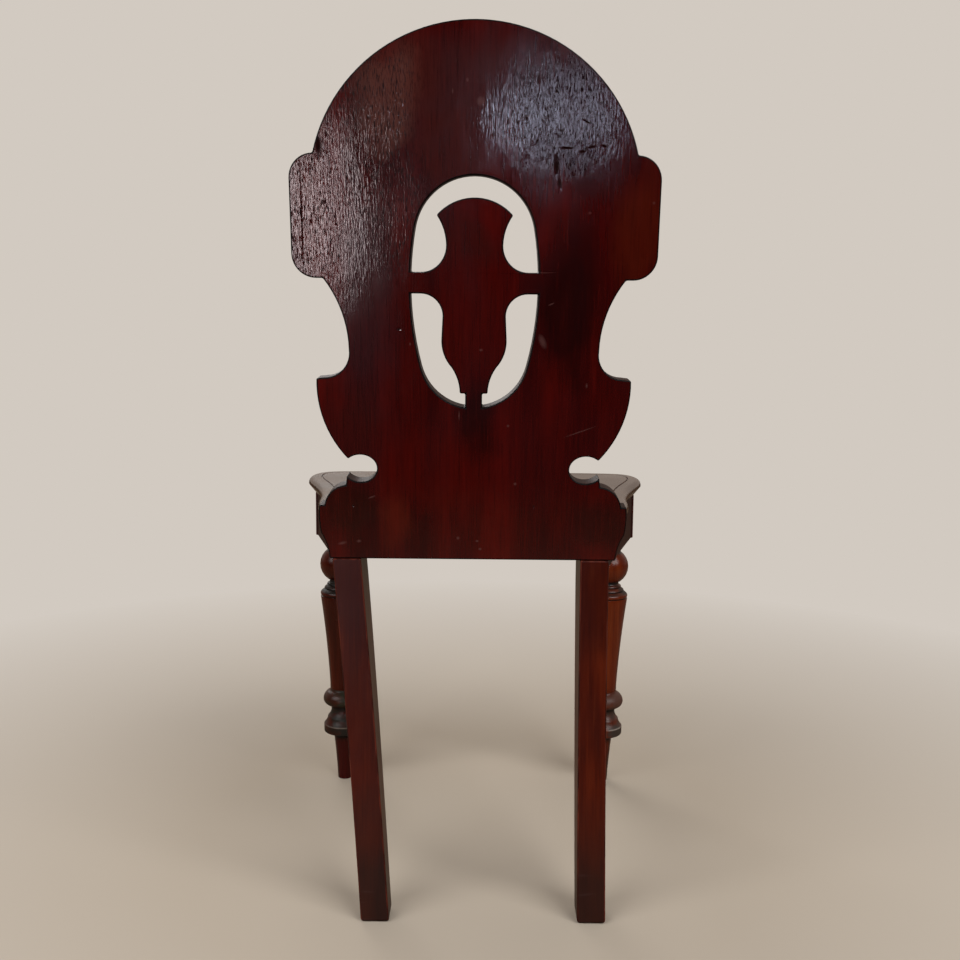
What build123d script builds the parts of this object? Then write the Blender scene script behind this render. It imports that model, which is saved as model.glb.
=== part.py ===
from build123d import *
from math import asin, atan, cos, degrees, radians, sin, sqrt, tan
import os

# A hall chair in solid mahogany: a pierced plank back, a moulded board seat, turned front
# legs, raked square rear legs and a doweled seat frame. The front faces -Y, the sitter's
# left is +X, the floor is Z = 0, and the origin is under the middle of the whole chair.
# Lengths are in millimetres, angles in degrees.

# Whole chair
back_top_height = 915
back_foot_drop = 32.3
back_rake_angle = 7.4
seat_height = 442.6
overrun = 6

# Plank back: sizes across it, and along its slope from its bottom edge
back_half_width = 181.3
back_thickness = 22
arch_half_width = 162
notch_half_width = 17.3
notch_half_height = 14.4

# Oval piercing, drawn with three radii, the shield left standing in it and the border
# scratched round it on the front
oval_half_width = 64.1
oval_top_radius = 60
oval_side_radius = 320
oval_bottom_radius = 55.4
bar_half_depth = 10.35
bar_hollow_radius = 22
stem_width = 17.3
border_margin = 8
border_width = 2.4
border_depth = 1.2

# Seat board: depths are from the plane of the back's rear face at its bottom edge
seat_half_width = 229.6
seat_nose_depth = 391
seat_side_overhang = 9.9
seat_front_overhang = 24.5
seat_thickness = 22
seat_nose_radius = 8
seat_under_height = 13
seat_under_width = 10.5
seat_quirk_inset = 17
seat_quirk_width = 1.6
seat_quirk_depth = 1.2
seat_inset_steps = 32

# Front legs: a square block over a turned leg, its foot a little in toward the other leg
block_width = 58
block_height = 60.3
turning_radius = 29
front_foot_inset = 5.5
block_chamfer = 1.5

# Rear legs: square, tapered in depth and swept back, both leaning a little to one side
rear_leg_width = 30.4
rear_leg_inset = 49.2
rear_leg_shift = 1.9
rear_leg_top_depth = 51
rear_foot_depth = 30
rear_foot_splay = 38
rear_foot_inset = 16.3
rear_foot_lean = 14.9
rear_leg_proud = 1
rear_sweep_power = 1.8
rear_sweep_steps = 5

# Seat frame: the side rails' setback is from the block's outer face to their centre line
rail_thickness = 22
front_rail_setback = 4
side_rail_setback = 14
back_rail_height = 30

# Corner blocks and glue blocks inside the frame
corner_block_reach = 60
corner_block_height = 28
corner_block_clearance = 0.3
glue_block_leg = 16

# Dowels and screws
dowel_radius = 4.75
dowel_reach = 24
small_dowel_radius = 4
small_dowel_reach = 18
dowel_clearance = 0.05
dowel_end_gap = 1
screw_radius = 2
screw_head_radius = 4
screw_head_depth = 2.6
screw_clearance = 0.05
screw_point_length = 5
screw_point_radius = 0.4
corner_screw_head = 18
corner_screw_bite = 16
back_screw_bite = 14
seat_screw_bite = 12
pocket_radius = 7
pocket_inset = 5
pocket_height = 18
pocket_web = 20

# Levels on the back, as shares of its height
arch_centre_share = 0.7061
ear_top_share = 0.7739
ear_bottom_share = 0.5508
oval_waist_share = 0.5376

# Down one side of the back, from the ear to the bottom edge:
# (share of the back's half width, share of its height)
ear_root_share = 0.832
waist_shares = ((0.7325, 0.4868), (0.6988, 0.4180), (0.7397, 0.3780), (0.8373, 0.3643))
lobe_shares = ((0.8847, 0.3624), (0.8620, 0.2920), (0.7132, 0.2029))
shoulder_shares = ((0.7336, 0.1519), (0.8196, 0.1386), (0.8599, 0.1107))
foot_shares = ((0.8919, 0.1107), (0.8950, 0.0800), (0.8870, 0.0540), (0.8580, 0.0320), (0.8400, 0))
notch_share_across = 0.648
notch_share_up = 0.1858

# Down one side of the shield: (share of the oval's half width, share of its height)
shield_top_share = 0.909
shield_head_shares = ((0.5866, 0.8364), (0.4730, 0.7708), (0.4400, 0.7104))
shield_body_shares = (
    (0.4950, 0.4080),
    (0.5130, 0.3115),
    (0.4710, 0.2350),
    (0.3541, 0.1824),
    (0.2590, 0.1290),
    (0.2215, 0.0665),
)

# Along one side of the seat's nose line, from a point behind the back to the middle of the
# front: (share of the seat's half width, share of its depth), and how the line sets out
seat_side_shares = (
    (0.700, -0.060),
    (0.722, 0.056),
    (0.765, 0.180),
    (0.786, 0.290),
    (0.850, 0.486),
    (0.942, 0.670),
    (1, 0.845),
    (0.930, 0.958),
    (0.740, 0.986),
    (0, 1),
)
seat_rear_tangent = (0.1, 1)

# Down the turned leg from the block: (share of the turning radius, share of the turned
# height, bow of the run below it as a share of the radius, out for a bead, in for a cove)
turning_shares = (
    (0.872, 1.0000, 0),
    (0.872, 0.9728, -0.05),
    (0.607, 0.9536, 0),
    (0.600, 0.9317, 0.36),
    (0.676, 0.8102, 0),
    (0.550, 0.8082, 0),
    (0.550, 0.8010, -0.02),
    (0.666, 0.7943, 0),
    (0.680, 0.7905, 0),
    (0.790, 0.7821, 0),
    (0.800, 0.7777, -0.02),
    (0.940, 0.7688, 0.03),
    (0.993, 0.7555, 0),
    (0.955, 0.7516, 0),
    (1, 0.7472, -0.043),
    (0.641, 0.3997, 0),
    (0.641, 0.3747, -0.03),
    (0.690, 0.3625, 0.09),
    (0.993, 0.3275, 0.09),
    (0.655, 0.3048, 0),
    (0.607, 0.3020, 0),
    (0.607, 0.2870, -0.03),
    (0.748, 0.2609, 0),
    (0.790, 0.2570, -0.03),
    (0.959, 0.2293, 0),
    (0.990, 0.2270, 0),
    (0.990, 0.2009, 0.02),
    (0.928, 0.1957, 0),
    (0.528, 0.1948, -0.02),
    (0.360, 0, 0),
)

# Where dowels, screws and glue blocks stand, as shares of the face that they are on or, for
# pockets and glue blocks, of the run left free between the corner blocks
side_dowel_shares = (0.15, 0.46)
front_dowel_shares = (0.25, 0.75)
back_dowel_shares = (0.24, 0.76)
corner_screw_share = 0.6
back_screw_shares = (-0.18, 0, 0.18)
front_pocket_share = 0.354
side_pocket_share = 0.25
side_glue_share = 0.68
glue_length_share = 0.33

# Levels and places that follow from the sizes above
seat_underside = seat_height - seat_thickness
back_foot_height = seat_underside - back_foot_drop
back_lean = tan(radians(back_rake_angle))
back_height = (back_top_height - back_foot_height) / cos(radians(back_rake_angle))
chair_depth = seat_nose_depth + back_height * sin(radians(back_rake_angle))
back_y = seat_nose_depth - chair_depth / 2
front_leg_y = back_y - seat_nose_depth + seat_front_overhang + block_width / 2
block_foot = seat_underside - block_height
block_back_y = front_leg_y + block_width / 2
frame_back_y = back_y - rear_leg_top_depth + rear_leg_proud
rear_leg_x = back_half_width - rear_leg_inset
front_leg_x = seat_half_width - seat_side_overhang - block_width / 2
side_rail_x = front_leg_x + block_width / 2 - side_rail_setback
side_rail_run = frame_back_y - block_back_y
side_rail_angle = atan((side_rail_x - rear_leg_x) / side_rail_run)
side_rail_half_x = rail_thickness / 2 / cos(side_rail_angle)
front_rail_y = front_leg_y - block_width / 2 + front_rail_setback + rail_thickness / 2
front_rail_end_x = front_leg_x - block_width / 2
front_free_run = 2 * (front_rail_end_x - corner_block_reach - corner_block_clearance)
side_free_run = side_rail_run - 2 * (corner_block_reach + corner_block_clearance)
side_free_y = block_back_y + corner_block_clearance + corner_block_reach
glue_block_length = glue_length_share * side_free_run
corner_block_foot = seat_underside - corner_block_height

back_plane = Plane(
    origin=(0, back_y, back_foot_height),
    x_dir=(-1, 0, 0),
    z_dir=(0, cos(radians(back_rake_angle)), -sin(radians(back_rake_angle))),
)
back_front_plane = back_plane.offset(-back_thickness)


def scaled(shares, width, height, foot=0):
    """Turn shares of a width and a height into points, the heights counted from a foot."""
    return [(across * width, foot + up * height) for across, up in shares]


def back_front_y(height):
    """Where the front face of the raked back stands at a height above the floor."""
    rise = height - back_foot_height
    return back_y - back_thickness / cos(radians(back_rake_angle)) + rise * back_lean


def screw_solid(plane, length, play=0, access=0):
    """A countersunk wood screw, its head on the plane and its point along the plane's normal.
    With play it is the hole for that screw, and with access the head's way in as well."""
    shank = screw_radius + play
    head = screw_head_radius + play
    tip = length + play
    points = [
        (head, 0),
        (shank, screw_head_depth),
        (shank, length - screw_point_length),
        (screw_point_radius + play, tip),
        (0, tip),
        (0, -access),
    ]
    if access:
        points.append((head, -access))
    with BuildPart() as screw:
        with BuildSketch(Plane(plane.origin, x_dir=plane.x_dir, z_dir=-plane.y_dir)):
            with BuildLine():
                Polyline(points, close=True)
            make_face()
        revolve(axis=Axis(plane.origin, plane.z_dir))
    return screw.part


def dowel_solid(plane, radius, reach, play=0, end_gap=0):
    """A dowel centred on a joint face, or with play and an end gap the bore for it."""
    with BuildPart() as dowel:
        with BuildSketch(plane):
            Circle(radius + play)
        extrude(amount=reach + end_gap, both=True)
    return dowel.part


# Points of the plank back and its oval, up the slope and across from the middle

arch_centre_height = arch_centre_share * back_height
ear_top_height = ear_top_share * back_height
ear_bottom_height = ear_bottom_share * back_height
oval_waist_height = oval_waist_share * back_height
arch_rise = back_height - arch_centre_height
arch_foot_angle = degrees(asin((ear_top_height - arch_centre_height) / arch_rise))
arch_foot_x = arch_half_width * cos(radians(arch_foot_angle))
ear_radius = back_half_width - arch_foot_x

oval_top_drop = sqrt(
    (oval_side_radius - oval_top_radius) ** 2 - (oval_side_radius - oval_half_width) ** 2
)
oval_bottom_drop = sqrt(
    (oval_side_radius - oval_bottom_radius) ** 2 - (oval_side_radius - oval_half_width) ** 2
)
oval_top_angle = degrees(asin(oval_top_drop / (oval_side_radius - oval_top_radius)))
oval_bottom_angle = degrees(asin(oval_bottom_drop / (oval_side_radius - oval_bottom_radius)))
oval_top = oval_waist_height + oval_top_drop + oval_top_radius
oval_bottom = oval_waist_height - oval_bottom_drop - oval_bottom_radius
oval_height = oval_top - oval_bottom

waist = scaled(waist_shares, back_half_width, back_height)
lobe = scaled(lobe_shares, back_half_width, back_height)
shoulder = scaled(shoulder_shares, back_half_width, back_height)
foot = scaled(foot_shares, back_half_width, back_height)
shield_head = scaled(shield_head_shares, oval_half_width, oval_height, oval_bottom)
shield_body = scaled(shield_body_shares, oval_half_width, oval_height, oval_bottom)
shield_top = oval_bottom + shield_top_share * oval_height
shield_rise = shield_top - shield_head[0][1]
shield_top_radius = (shield_head[0][0] ** 2 + shield_rise**2) / (2 * shield_rise)
shield_top_angle = degrees(asin(shield_head[0][0] / shield_top_radius))
bar_middle = shield_body[0][1] + bar_hollow_radius + bar_half_depth
bar_top_radius = shield_head[2][1] - bar_middle - bar_half_depth


def oval_face(margin):
    """The oval of the piercing, grown all round by a margin."""
    with BuildSketch() as oval:
        with BuildLine():
            crown = JernArc(
                (0, oval_top + margin), (1, 0), oval_top_radius + margin, oval_top_angle - 90
            )
            flank = JernArc(
                crown @ 1,
                crown % 1,
                oval_side_radius + margin,
                -oval_top_angle - oval_bottom_angle,
            )
            JernArc(flank @ 1, flank % 1, oval_bottom_radius + margin, oval_bottom_angle - 90)
            mirror(about=Plane.YZ)
        make_face()
    return oval.sketch


piercing = oval_face(0)
border_inner = oval_face(border_margin)
border_outer = oval_face(border_margin + border_width)

# Places of the frame's joints, screws and blocks, worked out before the pieces they go into


def rear_leg_centre_x(side, height):
    """Where the middle of a rear leg stands at a height, leaning to its own foot."""
    top_x = side * rear_leg_x + rear_leg_shift
    foot_x = side * (rear_leg_x - rear_foot_inset) - rear_foot_lean
    return top_x + (foot_x - top_x) * (1 - height / back_foot_height)


def rear_leg_back_y(height):
    """Where the rear face of the rear legs stands at a height, swept back toward the foot."""
    sweep = max(0, 1 - height / back_foot_height) ** rear_sweep_power
    return back_y + rear_leg_proud + (rear_foot_splay - rear_leg_proud) * sweep


def side_rail_centre_x(y):
    """The middle of a side rail, on the sitter's left, at a place from front to back."""
    return side_rail_x - (y - block_back_y) * tan(side_rail_angle)


def side_rail_inner_x(y):
    """The inner face of that rail."""
    return side_rail_centre_x(y) - side_rail_half_x


def side_rail_plane(side, y, height, inward=False):
    """A plane on a side rail's centre line looking along it, or on its inner face looking
    into the rail."""
    along = (-side * sin(side_rail_angle), cos(side_rail_angle), 0)
    if not inward:
        return Plane(origin=(side * side_rail_centre_x(y), y, height), x_dir=(0, 0, 1), z_dir=along)
    into = (side * cos(side_rail_angle), sin(side_rail_angle), 0)
    return Plane(origin=(side * side_rail_inner_x(y), y, height), x_dir=(0, 0, 1), z_dir=into)


front_rail_inner_y = front_rail_y + rail_thickness / 2
back_rail_inner_y = back_front_y(back_foot_height) - rail_thickness
back_rail_foot = seat_underside - back_rail_height
back_rail_y = (back_rail_inner_y + back_front_y(seat_underside)) / 2
corner_screw_height = seat_underside - corner_block_height / 2
corner_screw_length = corner_screw_head + corner_screw_bite
seat_screw_length = corner_block_height + seat_screw_bite
pocket_screw_length = pocket_web + seat_screw_bite
pocket_ceiling = seat_underside - pocket_web
back_screw_height = (back_front_plane.origin.Z + seat_underside) / 2
back_screw_length = back_front_y(back_screw_height) - back_rail_inner_y + back_screw_bite
back_rail_length = 2 * (rear_leg_x - rear_leg_width / 2)

back_screw_planes = [
    Plane(
        origin=(share * back_rail_length, back_rail_inner_y, back_screw_height),
        x_dir=(0, 0, 1),
        z_dir=(0, 1, 0),
    )
    for share in back_screw_shares
]

side_dowel_planes = {}
front_dowel_planes = {}
back_dowel_planes = {}
for side in (1, -1):
    side_dowel_planes[side] = [
        side_rail_plane(side, y, block_foot + share * block_height)
        for y in (block_back_y, frame_back_y)
        for share in side_dowel_shares
    ]
    front_dowel_planes[side] = [
        Plane(
            origin=(side * front_rail_end_x, front_rail_y, block_foot + share * block_height),
            z_dir=(side, 0, 0),
        )
        for share in front_dowel_shares
    ]
    back_dowel_planes[side] = []
    for share in back_dowel_shares:
        height = back_rail_foot + share * back_rail_height
        joint_x = rear_leg_centre_x(side, height) - side * rear_leg_width / 2
        back_dowel_planes[side].append(
            Plane(origin=(joint_x, back_rail_y, height), z_dir=(side, 0, 0))
        )


def frame_bores(planes, small=False):
    """Bores for a list of dowels, the small ones being those of the back rail."""
    radius = small_dowel_radius if small else dowel_radius
    reach = small_dowel_reach if small else dowel_reach
    return [dowel_solid(plane, radius, reach, dowel_clearance, dowel_end_gap) for plane in planes]


# Corner blocks: a brace across each corner of the frame, notched round the leg there

front_block_x = front_rail_end_x - corner_block_clearance
front_block_y = block_back_y + corner_block_clearance
rear_block_y = frame_back_y - corner_block_clearance
front_block_points = (
    (front_block_x, front_rail_inner_y),
    (front_block_x - corner_block_reach, front_rail_inner_y),
    (side_rail_inner_x(front_block_y + corner_block_reach), front_block_y + corner_block_reach),
    (side_rail_inner_x(front_block_y), front_block_y),
    (front_block_x, front_block_y),
)


def rear_block_points(side):
    """Corners of a rear corner block, with across counted from the middle of the chair."""
    leg_x = side * rear_leg_centre_x(side, corner_block_foot) - rear_leg_width / 2
    inner_x = leg_x - corner_block_clearance
    return (
        (inner_x, back_rail_inner_y),
        (inner_x - corner_block_reach, back_rail_inner_y),
        (side_rail_inner_x(rear_block_y - corner_block_reach), rear_block_y - corner_block_reach),
        (side_rail_inner_x(rear_block_y), rear_block_y),
        (inner_x, rear_block_y),
    )


def seat_screw_place(side, points):
    """Halfway between a corner block's notch and the middle of its long face."""
    notch, near, far = points[4], points[1], points[2]
    across = notch[0] / 2 + (near[0] + far[0]) / 4
    return side * across, notch[1] / 2 + (near[1] + far[1]) / 4


corner_blocks = {}
seat_screw_planes = []
corner_screws = {}
for side, hand in ((1, "left"), (-1, "right")):
    for end, points in (("front", front_block_points), ("rear", rear_block_points(side))):
        name = f"corner_block_{end}_{hand}"
        x, y = seat_screw_place(side, points)
        rail_x = side * (points[0][0] - corner_screw_share * corner_block_reach)
        toward = -1 if end == "front" else 1
        cross_rail = Plane(
            origin=(rail_x, points[0][1] - toward * corner_screw_head, corner_screw_height),
            x_dir=(0, 0, 1),
            z_dir=(0, toward, 0),
        )
        rail_y = points[4][1] - toward * corner_screw_share * corner_block_reach
        into_side = side_rail_plane(side, rail_y, corner_screw_height, inward=True)
        corner_screws[name] = (cross_rail, into_side.offset(-corner_screw_head))
        with BuildPart() as block:
            with BuildSketch(Plane.XY.offset(corner_block_foot)):
                with BuildLine():
                    Polyline([(side * across, depth) for across, depth in points], close=True)
                make_face()
            extrude(amount=corner_block_height)
            seat_screw_plane = Plane(origin=(x, y, corner_block_foot))
            seat_screw_planes.append(seat_screw_plane)
            add(
                screw_solid(seat_screw_plane, seat_screw_length, screw_clearance, overrun),
                mode=Mode.SUBTRACT,
            )
            for plane in corner_screws[name]:
                add(
                    screw_solid(plane, corner_screw_length, screw_clearance, corner_block_reach),
                    mode=Mode.SUBTRACT,
                )
        block.part.label = name
        corner_blocks[name] = block.part

# Screws up through pockets in the rails, and the glue blocks between them

pocket_planes = {}
for share in (front_pocket_share, -front_pocket_share):
    pocket_x = share * front_free_run
    pocket_planes[("front", share)] = Plane(
        origin=(pocket_x, front_rail_inner_y - pocket_inset, pocket_ceiling)
    )
side_pocket_y = side_free_y + side_pocket_share * side_free_run
for side in (1, -1):
    pocket_x = side * (side_rail_inner_x(side_pocket_y) + pocket_inset / cos(side_rail_angle))
    pocket_planes[("side", side)] = Plane(origin=(pocket_x, side_pocket_y, pocket_ceiling))


def pocket_cutters(kind):
    """The pockets of one kind of rail with the holes that lead up from them."""
    cutters = []
    for key, plane in pocket_planes.items():
        if key[0] == kind:
            with BuildPart() as pocket:
                with BuildSketch(plane):
                    Circle(pocket_radius)
                extrude(amount=-pocket_height)
            hole = screw_solid(plane, pocket_screw_length, screw_clearance)
            cutters.append((key[1], pocket.part, hole))
    return cutters


glue_planes = {
    "glue_block_front": Plane(
        origin=(0, front_rail_inner_y, seat_underside), x_dir=(0, 1, 0), z_dir=(1, 0, 0)
    )
}
glue_y = side_free_y + side_glue_share * side_free_run
for side, hand in ((1, "left"), (-1, "right")):
    glue_planes[f"glue_block_{hand}"] = Plane(
        origin=(side * side_rail_inner_x(glue_y), glue_y, seat_underside),
        x_dir=(-side * cos(side_rail_angle), -sin(side_rail_angle), 0),
        z_dir=(-sin(side_rail_angle), side * cos(side_rail_angle), 0),
    )

glue_blocks = []
for name, plane in glue_planes.items():
    with BuildPart() as glue_block:
        with BuildSketch(plane):
            with BuildLine():
                Polyline((0, 0), (glue_block_leg, 0), (0, -glue_block_leg), close=True)
            make_face()
        extrude(amount=glue_block_length / 2, both=True)
    glue_block.part.label = name
    glue_blocks.append(glue_block.part)

# Plank back with its ears, waist, notches, oval piercing and shield

with BuildPart() as back_panel:
    with BuildSketch(back_plane):
        with BuildLine():
            arch = EllipticalCenterArc(
                (0, arch_centre_height),
                arch_half_width,
                arch_rise,
                start_angle=arch_foot_angle,
                arc_size=90 - arch_foot_angle,
            )
            ear_top = JernArc(arch @ 0, (1, 0), ear_radius, -90)
            ear_side = Line(ear_top @ 1, (back_half_width, ear_bottom_height + ear_radius))
            ear_bottom = JernArc(ear_side @ 1, (0, -1), ear_radius, -90)
            ear_root = (ear_root_share * back_half_width, ear_bottom_height)
            Line(ear_bottom @ 1, ear_root)
            ThreePointArc(ear_root, waist[0], waist[1])
            ThreePointArc(waist[1], waist[2], waist[3])
            Line(waist[3], lobe[0])
            ThreePointArc(lobe[0], lobe[1], lobe[2])
            Line(lobe[2], shoulder[0])
            ThreePointArc(shoulder[0], shoulder[1], shoulder[2])
            Line(shoulder[2], foot[0])
            ThreePointArc(foot[0], foot[1], foot[2])
            ThreePointArc(foot[2], foot[3], foot[4])
            Line(foot[4], (0, 0))
            mirror(about=Plane.YZ)
        make_face()
        notch_x = notch_share_across * back_half_width
        notch_y = notch_share_up * back_height
        with Locations((notch_x, notch_y), (-notch_x, notch_y)):
            Ellipse(notch_half_width, notch_half_height, mode=Mode.SUBTRACT)
        add(piercing, mode=Mode.SUBTRACT)
        with BuildLine():
            JernArc((0, shield_top), (1, 0), shield_top_radius, -shield_top_angle)
            ThreePointArc(shield_head[0], shield_head[1], shield_head[2])
            bar_upper = JernArc(shield_head[2], (0, -1), bar_top_radius, 90)
            bar_end = oval_half_width + overrun
            bar_top = bar_middle + bar_half_depth
            bar_bottom = bar_middle - bar_half_depth
            bar_start = (shield_body[0][0] + bar_hollow_radius, bar_bottom)
            Polyline(bar_upper @ 1, (bar_end, bar_top), (bar_end, bar_bottom), bar_start)
            JernArc(bar_start, (-1, 0), bar_hollow_radius, 90)
            Line(shield_body[0], shield_body[1])
            ThreePointArc(shield_body[1], shield_body[2], shield_body[3])
            ThreePointArc(shield_body[3], shield_body[4], shield_body[5])
            Polyline(
                shield_body[5],
                (stem_width / 2, shield_body[5][1]),
                (stem_width / 2, oval_bottom - overrun),
                (0, oval_bottom - overrun),
            )
            mirror(about=Plane.YZ)
        make_face()
    extrude(amount=-back_thickness)
    with BuildSketch(back_front_plane):
        add(border_outer)
        add(border_inner, mode=Mode.SUBTRACT)
    extrude(amount=border_depth, mode=Mode.SUBTRACT)
    for plane in back_screw_planes:
        add(screw_solid(plane, back_screw_length, screw_clearance), mode=Mode.SUBTRACT)
back_panel.part.label = "back_panel"

# Seat board: rounded nose, chamfered under edge and a quirk round the top, cut off square
# to the raked back


def seat_face(places, end_tangent):
    """A face inside a spline through places from one rear end to the other."""
    with BuildSketch() as face:
        with BuildLine() as outline:
            Spline(*places, tangents=(end_tangent, (end_tangent[0], -end_tangent[1])))
            Line(places[-1], places[0])
        make_face()
    return face.sketch, outline.edges()[0]


def seat_inset_face(inset):
    """The seat's outline drawn in by an inset."""
    inset_places = []
    for step in range(seat_inset_steps + 1):
        place = seat_edge @ (step / seat_inset_steps)
        along = seat_edge % (step / seat_inset_steps)
        inset_places.append((place.X - along.Y * inset, place.Y + along.X * inset))
    return seat_face(inset_places, seat_rear_tangent)[0]


half_places = scaled(seat_side_shares, seat_half_width, seat_nose_depth)
other_places = [(-across, depth) for across, depth in reversed(half_places[:-1])]
seat_outline, seat_edge = seat_face(half_places + other_places, seat_rear_tangent)
quirk_outer = seat_inset_face(seat_quirk_inset)
quirk_inner = seat_inset_face(seat_quirk_inset + seat_quirk_width)
seat_plane = Plane(origin=(0, back_y, seat_underside), x_dir=(-1, 0, 0), z_dir=(0, 0, 1))

with BuildPart() as seat_board:
    with BuildSketch(seat_plane):
        add(seat_outline)
    extrude(amount=seat_thickness)
    top_edge = seat_board.faces().sort_by(Axis.Z)[-1].edges().sort_by(Axis.Y)[0]
    fillet(top_edge, seat_nose_radius)
    under_face = seat_board.faces().sort_by(Axis.Z)[0]
    under_edge = under_face.edges().sort_by(Axis.Y)[0]
    chamfer(under_edge, seat_under_width, seat_under_height, reference=under_face)
    with BuildSketch(seat_plane.offset(seat_thickness)):
        add(quirk_outer)
        add(quirk_inner, mode=Mode.SUBTRACT)
    extrude(amount=-seat_quirk_depth, mode=Mode.SUBTRACT)
    split(bisect_by=back_front_plane, keep=Keep.BOTTOM)
    for plane in seat_screw_planes:
        add(screw_solid(plane, seat_screw_length, screw_clearance), mode=Mode.SUBTRACT)
    for plane in pocket_planes.values():
        add(screw_solid(plane, pocket_screw_length, screw_clearance), mode=Mode.SUBTRACT)
seat_board.part.label = "seat_board"

# Rear legs, rebated at the top for the plank back

with BuildPart() as back_rebate:
    with BuildSketch(back_front_plane):
        with Locations((0, back_height / 2)):
            Rectangle(4 * back_half_width, back_height)
    extrude(amount=back_thickness + overrun)



def rear_leg_section(side, height):
    """The leg's rectangle at a height, its front face flat on the frame above the block's foot."""
    face_y = rear_leg_back_y(height)
    depth = face_y - frame_back_y
    if height < block_foot:
        top_depth = rear_leg_back_y(block_foot) - frame_back_y
        depth = rear_foot_depth + (top_depth - rear_foot_depth) * height / block_foot
    with BuildSketch(Plane.XY.offset(height)) as section:
        with Locations((rear_leg_centre_x(side, height), face_y - depth / 2)):
            Rectangle(rear_leg_width, depth)
    return section.sketch


rear_legs = []
rear_leg_blanks = []
for side, hand in ((1, "left"), (-1, "right")):
    heights = [step / rear_sweep_steps * block_foot for step in range(rear_sweep_steps + 1)]
    swept = [rear_leg_section(side, height) for height in heights]
    upright = [rear_leg_section(side, height) for height in (block_foot, seat_underside)]
    with BuildPart() as blank:
        loft(swept)
        loft(upright, ruled=True)
        add(back_rebate.part, mode=Mode.SUBTRACT)
    rear_leg_blanks.append(blank.part)
    with BuildPart() as rear_leg:
        add(blank.part)
        for bore in frame_bores(side_dowel_planes[side][2:]):
            add(bore, mode=Mode.SUBTRACT)
        for bore in frame_bores(back_dowel_planes[side], small=True):
            add(bore, mode=Mode.SUBTRACT)
    rear_leg.part.label = f"rear_leg_{hand}"
    rear_legs.append(rear_leg.part)

# Front legs: square block, ringed ball, tapering shaft, lower ring, ogee bell and foot

front_legs = []
front_lean = atan(front_foot_inset / block_foot)
for side, hand in ((1, "left"), (-1, "right")):
    leg_x = side * front_leg_x
    with BuildPart() as front_leg:
        with BuildSketch(Plane.XY.offset(block_foot)):
            with Locations((leg_x, front_leg_y)):
                Rectangle(block_width, block_width)
        extrude(amount=block_height)
        chamfer(front_leg.faces().sort_by(Axis.Z)[0].edges(), block_chamfer)
        turning_plane = Plane(
            origin=(leg_x - side * front_foot_inset, front_leg_y, 0),
            x_dir=(cos(front_lean), 0, -side * sin(front_lean)),
            z_dir=(0, -1, 0),
        )
        with BuildSketch(turning_plane):
            with BuildLine():
                top_radius = turning_shares[0][0] * turning_radius
                Polyline(
                    (0, block_foot + overrun),
                    (top_radius, block_foot + overrun),
                    (top_radius, block_foot),
                )
                for upper, lower in zip(turning_shares, turning_shares[1:]):
                    start = (upper[0] * turning_radius, upper[1] * block_foot)
                    end = (lower[0] * turning_radius, lower[1] * block_foot)
                    if upper[2]:
                        SagittaArc(start, end, upper[2] * turning_radius)
                    else:
                        Line(start, end)
                Polyline(end, (end[0], -overrun), (0, -overrun), (0, block_foot + overrun))
            make_face()
        revolve(axis=Axis(turning_plane.origin, turning_plane.y_dir))
        split(bisect_by=Plane.XY, keep=Keep.TOP)
        for bore in frame_bores(side_dowel_planes[side][:2] + front_dowel_planes[side]):
            add(bore, mode=Mode.SUBTRACT)
    front_leg.part.label = f"front_leg_{hand}"
    front_legs.append(front_leg.part)

# Rails of the seat frame

with BuildPart() as front_rail:
    with BuildSketch(Plane.XY.offset(block_foot)):
        with Locations((0, front_rail_y)):
            Rectangle(2 * front_rail_end_x, rail_thickness)
    extrude(amount=block_height)
    for bore in frame_bores(front_dowel_planes[1] + front_dowel_planes[-1]):
        add(bore, mode=Mode.SUBTRACT)
    for name in ("corner_block_front_left", "corner_block_front_right"):
        cross_rail = corner_screws[name][0]
        hole = screw_solid(cross_rail, corner_screw_length, screw_clearance)
        add(hole, mode=Mode.SUBTRACT)
    for key, pocket, hole in pocket_cutters("front"):
        add([pocket, hole], mode=Mode.SUBTRACT)
front_rail.part.label = "front_rail"

side_rails = []
for side, hand in ((1, "left"), (-1, "right")):
    front_x = side * side_rail_x
    rear_x = side * rear_leg_x
    with BuildPart() as side_rail:
        with BuildSketch(Plane.XY.offset(block_foot)):
            with BuildLine():
                Polyline(
                    (front_x - side_rail_half_x, block_back_y),
                    (front_x + side_rail_half_x, block_back_y),
                    (rear_x + side_rail_half_x, frame_back_y),
                    (rear_x - side_rail_half_x, frame_back_y),
                    close=True,
                )
            make_face()
        extrude(amount=block_height)
        for bore in frame_bores(side_dowel_planes[side]):
            add(bore, mode=Mode.SUBTRACT)
        for name in (f"corner_block_front_{hand}", f"corner_block_rear_{hand}"):
            into_side = corner_screws[name][1]
            hole = screw_solid(into_side, corner_screw_length, screw_clearance)
            add(hole, mode=Mode.SUBTRACT)
        for key, pocket, hole in pocket_cutters("side"):
            if key == side:
                add([pocket, hole], mode=Mode.SUBTRACT)
    side_rail.part.label = f"side_rail_{hand}"
    side_rails.append(side_rail.part)

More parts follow.
